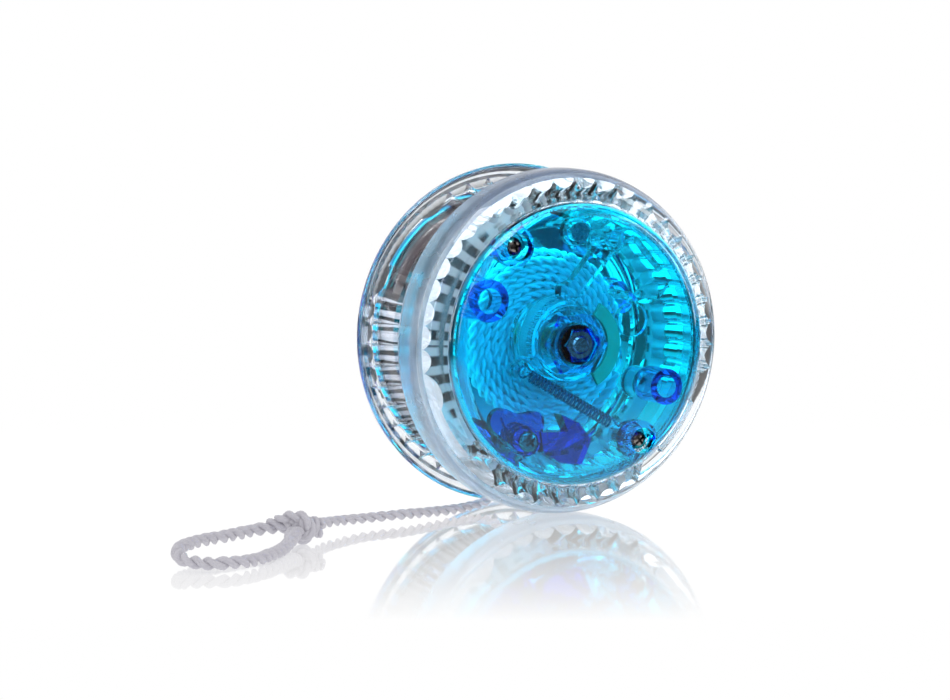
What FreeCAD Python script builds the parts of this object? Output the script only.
import FreeCAD, Part
import math
import os
from FreeCAD import Vector

os.makedirs("parts", exist_ok=True)

# Yo-yo with a centrifugal clutch, string and finger loop. Millimetres.
# Frame: origin on the axle midway between the two halves; Y along the axle, the half
# with the clutch towards -Y; Z up; the yo-yo stands on its rims at Z = -RIM_R.
# Each half is built face up: local z (every ..._Z value) is the distance from the
# middle plane, x and y are measured from the axle. front() and rear() put it in place.

# ---- moulded half ----
RIM_R = 28.5             # outer radius of the skirt
FRONT_SKIRT_Z = 5.5      # where the front half's skirt starts
REAR_SKIRT_Z = 8.9       # the rear half has only a short lip
SKIRT_IN_R = 27.6        # inner radius of the front skirt at its open end
CHANNEL_Z = 11.2         # floor of the channel behind the skirt
CHANNEL_R = 26.7         # outer radius of the channel floor
GAP_Z = 1.7              # half of the string gap
FLOOR_Z = 4.2            # cavity floor
ROOT_Z = FLOOR_Z - 0.2   # posts and ribs are sunk into the floor
CAVITY_R = 21.5
LEDGE_Z = 13.3           # ledge the cover stands on
POST_Z = 11.75           # top of the posts the cover is screwed to
SEAT_R = 23.2            # wall round the cover
CREST = (23.7, 14.1)     # radius and height where the rim shoulder ends
HUB_HOLE_R = 6.9         # hole for the drum
REAR_TURN = 6.5          # how far the rear half is turned against the front one

# Flutes: scoops between sharp ridges, broken by two plain windows (angles in degrees)
RIDGE_R = 26.5           # radius of the ridges at the channel floor
RIDGE_SLOPE = 0.5        # radius lost per mm towards the middle plane
FLUTE_DEPTH = 1.4
WIDE_DEPTH = 2.3         # depth of the wide scoops beside the windows
WINDOW_A, WINDOW_B = 213.5, 323.5    # middles of the windows
WINDOW_SPAN, WIDE_SPAN = 22.0, 14.4
SHORT_SCOOPS, LONG_SCOOPS = 7, 24    # plain scoops from A to B and from B to A

# ---- cover ----
COVER_R = SEAT_R - 0.1
COVER_FOOT_Z = LEDGE_Z + 0.05
COVER_TOP_Z = 15.9
PLATE_UNDER_Z = COVER_TOP_Z - 2.0
COVER_WALL_R = 21.9      # inside of the cover's wall
FACE_R = 21.1            # flat part of the face

# ---- axle stack ----
AXLE_R = 1.5
AXLE_END_Z = 15.6
AXLE_CHAMFER = 0.3
AXLE_FIT_R = AXLE_R + 0.05    # bore of everything that slides on the axle
NUT_FLATS = 5.0
NUT_Z0, NUT_Z1 = 13.5, 15.3
WASHER_R, WASHER_Z0, WASHER_Z1 = 3.4, 11.2, 11.85
SLEEVE_R = 2.1
SPACER_R = 3.6
SLEEVE_REAR_Z = -5.2     # the sleeve meets the rear spacer here
DRUM_BORE = 2.15
DRUM_R = 6.3
DRUM_BODY_R = 6.6        # drum in the shell holes, beside the string
FLANGE_R = 7.4
STRING_HUB_R = 5.0

# ---- places in the half ----
CENTRE = (0, 0)
SCREWS = [(-11.55, 16.35), (11.55, -16.35)]
# tubes under the cover: x, y, outer radius, inner radius, height of the open end
TUBES = [(-16.3, 7.75, 3.45, 2.1, 9.6), (16.5, -7.75, 3.0, 1.8, 8.4)]
LEVER_PIVOT = (-8.1, -15.7)
ARM_PIVOT = (8.1, 16.6)
WEIGHT = (1.5, 18.2)
SPRING_START = (-7.9, -4.5)
SPRING_END = (8.9, -14.1)

# ---- clutch ----
SHOE_IN_R = 6.95         # inside of the shoe, outside of the brake pad
ARM_Z0, ARM_Z1 = 8.6, 10.6
LEVER_Z0, LEVER_Z1 = 9.8, 11.2
FLAG_Z0, FLAG_Z1 = 9.05, 11.95
SPRING_Z = 9.5
SPRING_R = 1.05
HOOK_HALF = 0.27         # half the height of the spring's hooks
HOOK_LINK_R = 0.2
TORSION_WIRE_R = 0.22

# ---- string ----
CORD_R = 0.75
PACK_R = 15.0            # radius of the wound string
PACK_HALF = 1.45         # half its width
KNOT_R = 2.3

# Centre lines of the cord: x, y, z in the yo-yo's frame
KNOT = (-51.6, -19.2, -26.0)
TAIL = [
    (9.85, 0, -12.35), (5.2, 0, -16.1), (0.2, 0, -20.2), (-4.6, 0, -24.1),
    (-9.2, -0.1, -26.9), (-15.7, -2.6, -27.5), (-22.3, -5.0, -27.3),
    (-28.8, -6.9, -27.1), (-36.2, -8.4, -27.0), (-43.9, -12.0, -26.6), KNOT,
]
LOOP = [
    KNOT, (-54.6, -16.9, -26.0), (-58.7, -17.2, -26.1), (-62.9, -19.3, -26.2),
    (-66.6, -21.1, -26.2), (-70.7, -23.2, -26.2), (-74.9, -27.0, -26.2),
    (-77.6, -31.6, -26.4), (-78.0, -35.3, -26.8), (-75.6, -37.9, -27.2),
    (-72.0, -38.8, -27.2), (-68.1, -37.5, -27.3), (-64.3, -34.7, -27.3),
    (-59.9, -30.2, -27.3), (-56.2, -25.2, -26.9), (-53.6, -21.4, -26.3), KNOT,
]

ORIGIN = Vector(0, 0, 0)
X_AXIS = Vector(1, 0, 0)
Z_AXIS = Vector(0, 0, 1)


# ---- building blocks ----
def cylinder(place, z0, z1, radius):
    return Part.makeCylinder(radius, z1 - z0, Vector(*place, z0), Z_AXIS)


def ring(place, z0, z1, outer, inner):
    return cylinder(place, z0, z1, outer).cut(cylinder(place, z0 - 1, z1 + 1, inner))


def polygon_face(points):
    return Part.Face(Part.makePolygon(points + points[:1]))


def revolve_points(points):
    """Solid turned from a closed outline of (radius, z) points."""
    return polygon_face([Vector(r, 0, z) for r, z in points]).revolve(ORIGIN, Z_AXIS, 360)


def revolve_edges(edges):
    """Solid turned from a closed outline of line() and arc() edges."""
    wire = Part.Wire(Part.__sortEdges__(edges))
    return Part.Face(wire).revolve(ORIGIN, Z_AXIS, 360)


def line(start, end):
    return Part.makeLine(Vector(start[0], 0, start[1]), Vector(end[0], 0, end[1]))


def arc(start, middle, end):
    return arc_3d(*[Vector(r, 0, z) for r, z in (start, middle, end)])


def arc_3d(start, middle, end):
    return Part.Arc(start, middle, end).toShape()


def prism(points, z0, z1):
    return polygon_face([Vector(x, y, z0) for x, y in points]).extrude(Vector(0, 0, z1 - z0))


def polar(radius, angle, z):
    turn = math.radians(angle)
    return Vector(radius * math.cos(turn), radius * math.sin(turn), z)


def hexagon(flats, z0, z1):
    corners = [polar(flats / math.sqrt(3), 60 * i, z0) for i in range(6)]
    return polygon_face(corners).extrude(Vector(0, 0, z1 - z0))


def sector(inner, outer, angle0, angle1, z0, z1):
    """Piece of a ring between two angles."""
    middle = (angle0 + angle1) / 2.0
    edges = [
        arc_3d(polar(outer, angle0, z0), polar(outer, middle, z0), polar(outer, angle1, z0)),
        Part.makeLine(polar(outer, angle1, z0), polar(inner, angle1, z0)),
        arc_3d(polar(inner, angle1, z0), polar(inner, middle, z0), polar(inner, angle0, z0)),
        Part.makeLine(polar(inner, angle0, z0), polar(outer, angle0, z0)),
    ]
    return Part.Face(Part.Wire(edges)).extrude(Vector(0, 0, z1 - z0))


def fuse(shapes):
    return shapes[0].multiFuse(shapes[1:]).removeSplitter()


def front(shape):
    """Place a piece in the front half, facing -Y."""
    placed = shape.copy()
    placed.rotate(ORIGIN, X_AXIS, 90)
    return placed


def rear(shape):
    """Place a piece in the rear half, facing +Y."""
    placed = shape.copy()
    placed.rotate(ORIGIN, Z_AXIS, REAR_TURN)
    placed.rotate(ORIGIN, X_AXIS, -90)
    return placed


# ---- moulded half ----
def flute_spans():
    """Start angle, end angle and kind of each stretch of the fluted ring."""
    window_a = WINDOW_A - WINDOW_SPAN / 2
    window_b = WINDOW_B - WINDOW_SPAN / 2
    spans = []
    for window, end, count in ((window_a, window_b, SHORT_SCOOPS),
                               (window_b, window_a + 360.0, LONG_SCOOPS)):
        start = window + WINDOW_SPAN
        step = (end - start - 2 * WIDE_SPAN) / count
        spans.append((window, start, "window"))
        spans.append((start, start + WIDE_SPAN, "wide after window"))
        for i in range(count):
            scoop = start + WIDE_SPAN
            spans.append((scoop + i * step, scoop + (i + 1) * step, "scoop"))
        spans.append((end - WIDE_SPAN, end, "wide before window"))
    return spans


def flute_wire(z):
    ridge = RIDGE_R + RIDGE_SLOPE * (z - CHANNEL_Z)
    scale = ridge / RIDGE_R
    window = ridge - FLUTE_DEPTH * scale
    wide = ridge - WIDE_DEPTH * scale
    deepest = 0.42       # a wide scoop is deepest at this share of its span from the window
    edges = []
    for angle0, angle1, kind in flute_spans():
        span = angle1 - angle0
        middle = (angle0 + angle1) / 2.0
        if kind == "window":
            radii = (window, window, window)
        elif kind == "scoop":
            chord = ridge * math.cos(math.radians(span / 2.0))
            radii = (ridge, chord - FLUTE_DEPTH * scale, ridge)
        elif kind == "wide after window":
            radii = (window, wide, ridge)
            middle = angle0 + deepest * span
        else:
            radii = (ridge, wide, window)
            middle = angle1 - deepest * span
        edges.append(arc_3d(*[polar(radius, angle, z)
                              for radius, angle in zip(radii, (angle0, middle, angle1))]))
    return Part.Wire(edges)


def fluted_bowl():
    """Fluted cone, cut to the bowl's outer outline."""
    top = 12.0
    inner = 5.0
    flutes = Part.makeLoft([flute_wire(1.0), flute_wire(CHANNEL_Z + 0.3)], True, True)
    envelope = revolve_edges([
        line((inner, GAP_Z), (20.2, GAP_Z)),
        arc((20.2, GAP_Z), (21.95, 2.45), (22.95, 3.95)),
        line((22.95, 3.95), (27.2, top)),
        line((27.2, top), (inner, top)),
        line((inner, top), (inner, GAP_Z)),
    ])
    return flutes.common(envelope)


def front_skirt():
    """Skirt edges, and the first two points of the shoulder above them."""
    lip_z = FRONT_SKIRT_Z + 0.4
    shoulder = [(RIM_R, 8.0), (28.15, 10.3)]
    edges = [
        line((CHANNEL_R, CHANNEL_Z), (SKIRT_IN_R, lip_z)),
        arc((SKIRT_IN_R, lip_z), (28.05, FRONT_SKIRT_Z), (RIM_R, lip_z)),
        line((RIM_R, lip_z), shoulder[0]),
    ]
    return edges, shoulder


def rear_skirt():
    """Short lip: edges and shoulder points as in front_skirt."""
    inner = (28.08, REAR_SKIRT_Z + 0.12)
    shoulder = [(RIM_R, 9.2), (28.2, 10.4)]
    edges = [
        line((CHANNEL_R, CHANNEL_Z), inner),
        arc(inner, (28.33, REAR_SKIRT_Z), shoulder[0]),
    ]
    return edges, shoulder


def rim(skirt):
    """Rim with its skirt and the step for the cover."""
    skirt_edges, shoulder_start = skirt
    points = shoulder_start + [(27.2, 12.0), (25.9, 13.3), (24.6, 13.93), CREST]
    shoulder = Part.BSplineCurve()
    shoulder.interpolate([Vector(r, 0, z) for r, z in points],
                         InitialTangent=Vector(0, 0, 1), FinalTangent=Vector(-1, 0, 0.05))
    seat_top = (SEAT_R, 13.75)
    return revolve_edges([line((CAVITY_R, CHANNEL_Z), (CHANNEL_R, CHANNEL_Z))] + skirt_edges + [
        shoulder.toShape(),
        arc(CREST, (23.34, 13.98), seat_top),
        line(seat_top, (SEAT_R, LEDGE_Z)),
        line((SEAT_R, LEDGE_Z), (CAVITY_R, LEDGE_Z)),
        line((CAVITY_R, LEDGE_Z), (CAVITY_R, CHANNEL_Z)),
    ])


def curved_rib():
    outer0, outer1 = Vector(10.6, 7.4, ROOT_Z), Vector(18.3, 9.4, ROOT_Z)
    inner0, inner1 = Vector(18.0, 10.0, ROOT_Z), Vector(10.9, 8.1, ROOT_Z)
    wire = Part.Wire([
        arc_3d(outer0, Vector(14.3, 6.0, ROOT_Z), outer1),
        Part.makeLine(outer1, inner0),
        arc_3d(inner0, Vector(14.25, 6.8, ROOT_Z), inner1),
        Part.makeLine(inner1, outer0),
    ])
    return Part.Face(wire).extrude(Vector(0, 0, 7.4))


def floor_features():
    """Posts, pad and ribs on the cavity floor."""
    features = []
    for x, y in SCREWS:
        features.append(cylinder((x, y), ROOT_Z, POST_Z, 2.3))
        features.append(Part.makeCone(3.2, 2.3, 1.2, Vector(x, y, FLOOR_Z - 0.1), Z_AXIS))
    features.append(cylinder(LEVER_PIVOT, ROOT_Z, 8.9, 1.9))
    features.append(cylinder(ARM_PIVOT, ROOT_Z, 8.5, 1.7))
    # stub under the second tube of the cover
    x, y, outer, _, tube_z = TUBES[1]
    features.append(cylinder((x - 0.6, y), ROOT_Z, tube_z - 0.1, outer - 0.3))
    # raised pad, curved rib and slanted rib
    features.append(cylinder((14.8, 2.7), ROOT_Z, 5.5, 2.8))
    features.append(curved_rib())
    features.append(prism([(12.4, 16.4), (17.3, 10.9), (18.1, 11.5), (13.2, 17.1)], ROOT_Z, 9.6))
    return features


def shell(skirt):
    body = fluted_bowl().fuse(rim(skirt))
    cavity = revolve_points([
        (0, FLOOR_Z), (18.5, FLOOR_Z), (19.2, 4.6), (19.8, 5.5), (CAVITY_R, 9.0),
        (CAVITY_R, 16), (0, 16),
    ])
    body = body.cut(cavity).cut(cylinder(CENTRE, -1, 6, HUB_HOLE_R))
    # keeps the posts and ribs inside the bowl's own wall
    inside_r = CAVITY_R + 0.3
    inside = revolve_points([
        (0, 3.9), (18.7, 3.9), (19.5, 4.4), (20.1, 5.3), (inside_r, 9.0),
        (inside_r, POST_Z), (0, POST_Z),
    ])
    body = fuse([body] + [feature.common(inside) for feature in floor_features()])
    # blind holes in the posts: place, bottom, radius
    holes = [(place, 6.0, 1.02) for place in SCREWS]
    holes += [(LEVER_PIVOT, 5.2, 1.02), (ARM_PIVOT, 4.9, 0.97)]
    for place, bottom, radius in holes:
        body = body.cut(cylinder(place, bottom, 13, radius))
    return body


# ---- cover and its fasteners ----
def cover():
    body = revolve_edges([
        line((0, PLATE_UNDER_Z), (COVER_WALL_R, PLATE_UNDER_Z)),
        line((COVER_WALL_R, PLATE_UNDER_Z), (COVER_WALL_R, COVER_FOOT_Z)),
        line((COVER_WALL_R, COVER_FOOT_Z), (COVER_R, COVER_FOOT_Z)),
        line((COVER_R, COVER_FOOT_Z), (COVER_R, 14.0)),
        arc((COVER_R, 14.0), (22.45, 15.32), (FACE_R, COVER_TOP_Z)),
        line((FACE_R, COVER_TOP_Z), (0, COVER_TOP_Z)),
        line((0, COVER_TOP_Z), (0, PLATE_UNDER_Z)),
    ])
    # trims the bosses and tubes to the cavity below the foot and to the wall above it
    clip = cylinder(CENTRE, 0, COVER_FOOT_Z, 21.3).fuse(cylinder(CENTRE, COVER_FOOT_Z, 20, 22.4))
    buried = PLATE_UNDER_Z + 0.3
    # six-sided collar round the nut, open inside but for the tube that carries the nut
    features = [
        hexagon(9.4, 12.3, buried).cut(cylinder(CENTRE, 11, 14, 3.95)),
        cylinder(CENTRE, WASHER_Z1, buried, 3.3),
    ]
    for place in SCREWS:
        features.append(cylinder(place, POST_Z + 0.05, buried, 3.3).common(clip))
    for x, y, outer, inner, tube_z in TUBES:
        features.append(ring((x, y), tube_z, PLATE_UNDER_Z + 0.1, outer, inner).common(clip))
    body = fuse([body] + features)
    body = body.cut(cylinder(CENTRE, 11, 14.5, 1.6)).cut(hexagon(NUT_FLATS + 0.35, NUT_Z0, 17))
    for place in SCREWS:
        body = body.cut(cylinder(place, 13.2, 17, 2.2)).cut(cylinder(place, 11, 14, 1.15))
    return body


def cross_screw(place, top, head_r, head_h, tip, turn):
    """Pan-head screw along z; `top` and `tip` are its ends, `turn` the angle of the cross."""
    shank_r = 1.0
    seat = top - head_h
    edge_z = seat + 0.45 * head_h
    head = revolve_edges([
        line((0, seat), (head_r, seat)),
        line((head_r, seat), (head_r, edge_z)),
        arc((head_r, edge_z), (0.72 * head_r, seat + 0.86 * head_h), (0, top)),
        line((0, top), (0, seat)),
    ])
    shank = revolve_points([
        (0, tip), (0.35 * shank_r, tip), (shank_r, tip + 1.0), (shank_r, seat + 0.05),
        (0, seat + 0.05),
    ])
    screw = head.fuse(shank)
    width, length, depth = 0.26 * head_r, 1.16 * head_r, 0.6 * head_h
    for angle in (0, 90):
        slot = Part.makeBox(length, width, depth + 1,
                            Vector(-length / 2, -width / 2, top - depth))
        slot.rotate(ORIGIN, Z_AXIS, angle + turn)
        screw = screw.cut(slot)
    screw.translate(Vector(*place, 0))
    return screw


def cover_screws(turns):
    return Part.makeCompound([
        cross_screw(place, top=14.55, head_r=1.55, head_h=1.35, tip=6.3, turn=turn)
        for place, turn in zip(SCREWS, turns)])


def nut():
    """Axle nut, its outer corners bevelled."""
    body = hexagon(NUT_FLATS, NUT_Z0, NUT_Z1).cut(cylinder(CENTRE, 13, 16, AXLE_R + 0.02))
    corner = NUT_FLATS / math.sqrt(3)
    return body.common(revolve_points([
        (0, NUT_Z0 - 1), (corner + 1, NUT_Z0 - 1), (corner + 1, NUT_Z1 - 0.95),
        (corner - 0.75, NUT_Z1 + 0.05), (0, NUT_Z1 + 0.05),
    ]))


def axle():
    end_r = AXLE_R - AXLE_CHAMFER
    side_z = AXLE_END_Z - AXLE_CHAMFER
    return revolve_points([
        (0, -AXLE_END_Z), (end_r, -AXLE_END_Z), (AXLE_R, -side_z), (AXLE_R, side_z),
        (end_r, AXLE_END_Z), (0, AXLE_END_Z),
    ])


def washer():
    return ring(CENTRE, WASHER_Z0, WASHER_Z1, WASHER_R, AXLE_FIT_R)


# ---- clutch, in the front half ----
def spool_drum():
    """Drum from the string hub to the brake surface, in the front half's heights."""
    rear_z = SLEEVE_REAR_Z + 0.1
    hub_z = 1.6
    top = 11.1
    return revolve_points([
        (DRUM_BORE, rear_z), (DRUM_BODY_R, rear_z), (DRUM_BODY_R, -hub_z),
        (STRING_HUB_R, -hub_z), (STRING_HUB_R, hub_z), (DRUM_BODY_R, hub_z),
        (DRUM_BODY_R, 4.5), (FLANGE_R, 4.5), (FLANGE_R, 5.9), (DRUM_R + 0.2, 5.9),
        (DRUM_R, 6.2), (DRUM_R, 10.9), (DRUM_R - 0.2, top), (DRUM_R - 0.75, top),
        (DRUM_R - 0.8, 6.2), (3.1, 5.9), (3.0, top), (DRUM_BORE, top),
    ])


def clutch_arm():
    ear_z0, ear_z1 = 7.0, 8.3
    shoe = sector(SHOE_IN_R, 7.9, 88, 200, 7.0, ARM_Z1)
    beam = prism([(7.0, 17.8), (9.3, 15.5), (2.2, 7.5), (0.0, 6.9), (-1.6, 7.3),
                  (-1.5, 9.4), (0.6, 10.2)], ARM_Z0, ARM_Z1)
    limb = prism([(8.1, 18.4), (8.1, 15.0), (1.9, 16.3), (1.3, 20.1)], ARM_Z0, ARM_Z1)
    socket = cylinder(WEIGHT, ARM_Z0, 11.2, 2.3)
    hub = cylinder(ARM_PIVOT, ARM_Z0, ARM_Z1, 2.2)
    ear = prism([(-7.42, -2.3), (-6.55, -2.4), (-6.9, -5.0), (-9.1, -4.4)], ear_z0, ear_z1)
    ear = ear.cut(cylinder(CENTRE, 6, 9, SHOE_IN_R))
    knob = cylinder(SPRING_START, ear_z0, ear_z1, 1.25)
    peg = cylinder(SPRING_START, 8.0, 10.4, 0.6)
    beam = beam.cut(cylinder(CENTRE, 6, 12, SHOE_IN_R))
    arm = fuse([shoe, beam, limb, socket, hub, ear, knob, peg])
    return arm.cut(cylinder(ARM_PIVOT, 8, 12, 1.03)).cut(cylinder(WEIGHT, 9.4, 12, 1.62))


def arm_pivot_pin():
    return fuse([cylinder(ARM_PIVOT, 5.0, 10.8, 0.95), cylinder(ARM_PIVOT, 10.7, 11.3, 1.7)])


def weight_lever():
    hub_top = 11.25
    lobes = [
        cylinder((-12.7, -12.2), LEVER_Z0, LEVER_Z1, 2.1),
        cylinder((-6.9, -12.9), LEVER_Z0, LEVER_Z1, 2.0),
        prism([(-14.2, -13.65), (-12.0, -10.25), (-9.8, -11.2), (-7.7, -11.05),
               (-4.95, -13.4), (-5.7, -16.0), (-10.3, -16.9)], LEVER_Z0, LEVER_Z1),
    ]
    flag = prism([(-5.9, -14.3), (-0.8, -14.5), (-2.1, -11.6), (1.2, -13.1), (3.5, -16.1),
                  (1.75, -19.9), (0.9, -20.1), (-2.4, -19.5), (-5.4, -17.7)], FLAG_Z0, FLAG_Z1)
    hub = cylinder(LEVER_PIVOT, FLAG_Z0, hub_top, 2.5)
    lever = fuse(lobes + [flag, hub])
    lever = lever.cut(cylinder(LEVER_PIVOT, hub_top, 13, 2.0))
    return lever.cut(cylinder(LEVER_PIVOT, 8, 12, 1.08))


def return_spring():
    """Coil as a plain tube, from the peg on the arm to the second cover screw's post."""
    start = Vector(*SPRING_START, SPRING_Z)
    along = Vector(*SPRING_END, SPRING_Z) - start
    length = along.Length
    along.normalize()
    hook_z0, hook_z1 = SPRING_Z - HOOK_HALF, SPRING_Z + HOOK_HALF
    coil_start = start + along * 1.5
    coil = Part.makeCylinder(SPRING_R, length - 2.2, coil_start, along).cut(
        Part.makeCylinder(0.6, length, start + along * 1.0, along))
    start_hook = ring(SPRING_START, hook_z0, hook_z1, 1.15, 0.72)
    start_link = Part.makeCylinder(HOOK_LINK_R, 0.8, start + along * 0.9, along)
    post = Vector(*SCREWS[1], SPRING_Z)
    end_hook = sector(2.4, 2.85, 35.0, 215.0, hook_z0, hook_z1)
    end_hook.translate(Vector(*SCREWS[1], 0))
    link_start = start + along * (length - 0.9)
    to_post = post - link_start
    link_length = to_post.Length - 2.6
    to_post.normalize()
    end_link = Part.makeCylinder(HOOK_LINK_R, link_length, link_start, to_post)
    # end plates join the hooks to the coil
    plates = [Part.makeCylinder(SPRING_R, 0.4, plate_start, along)
              for plate_start in (coil_start, start + along * (length - 1.1))]
    return fuse([coil, start_hook, start_link, end_hook, end_link] + plates)


def torsion_spring():
    """Coil round the lever's post, with two straight legs."""
    x, y = LEVER_PIVOT
    coil_r = 2.33
    coil = ring(LEVER_PIVOT, 7.0, 8.5, 2.6, 2.05)
    upper_leg = Part.makeCylinder(TORSION_WIRE_R, 4.6, Vector(x, y + coil_r, 8.2),
                                  Vector(1, 0.12, 0))
    lower_leg = Part.makeCylinder(TORSION_WIRE_R, 4.0, Vector(x - coil_r, y, 7.3),
                                  Vector(0.1, 1, 0))
    return fuse([coil, upper_leg, lower_leg])


# ---- string, already in the yo-yo's frame ----
def cord(points):
    curve = Part.BSplineCurve()
    curve.interpolate([Vector(*point) for point in points])
    first = curve.FirstParameter
    section = Part.makeCircle(CORD_R, curve.value(first), curve.tangent(first)[0])
    return Part.Wire([curve.toShape()]).makePipeShell([Part.Wire([section])], True, True)


def string_winding():
    """Wound string as one solid pack on the drum's hub."""
    side = [
        (STRING_HUB_R + 0.02, -1.3), (5.6, -PACK_HALF), (PACK_R - 1.2, -PACK_HALF),
        (PACK_R - 0.3, -1.1),
    ]
    other_side = [(r, -z) for r, z in reversed(side)]
    return front(revolve_points(side + [(PACK_R, 0.0)] + other_side))


# ---- pieces ----
lid = cover()
knot = Part.makeSphere(KNOT_R, Vector(*KNOT))

FRONT_PIECES = {
    "front_shell": shell(front_skirt()),
    "front_cover": lid,
    "front_cover_screws": cover_screws([15.0, 40.0]),
    "axle": axle(),
    "front_nut": nut(),
    "front_thrust_washer": washer(),
    "bearing_sleeve": ring(CENTRE, SLEEVE_REAR_Z, WASHER_Z0, SLEEVE_R, AXLE_FIT_R),
    "spool_drum": spool_drum(),
    "clutch_arm": clutch_arm(),
    "arm_weight": cylinder(WEIGHT, 9.4, 11.6, 1.6),
    "brake_pad": sector(6.36, SHOE_IN_R, 96, 196, 7.1, 10.5),
    "arm_pivot_pin": arm_pivot_pin(),
    "weight_lever": weight_lever(),
    "hub_clip": sector(5.48, 7.7, -62, 58, 13.1, 13.85),
    "lever_pivot_screw": cross_screw(LEVER_PIVOT, top=12.55, head_r=1.7, head_h=1.2,
                                     tip=5.4, turn=35.0),
    "lever_torsion_spring": torsion_spring(),
    "return_spring": return_spring(),
}
REAR_PIECES = {
    "rear_shell": shell(rear_skirt()),
    "rear_cover": lid,
    "rear_cover_screws": cover_screws([70.0, 5.0]),
    "rear_nut": nut(),
    "rear_washer": washer(),
    "rear_spacer": ring(CENTRE, -SLEEVE_REAR_Z, WASHER_Z0, SPACER_R, AXLE_FIT_R),
}
NODES = {
    "string_winding": string_winding(),
    "string_tail": cord(TAIL).cut(knot),
    "string_knot": knot,
    "finger_loop": cord(LOOP).cut(knot),
}
NODES.update({name: front(shape) for name, shape in FRONT_PIECES.items()})
NODES.update({name: rear(shape) for name, shape in REAR_PIECES.items()})

for name, shape in NODES.items():
    shape.exportStep(os.path.join("parts", name + ".step"))
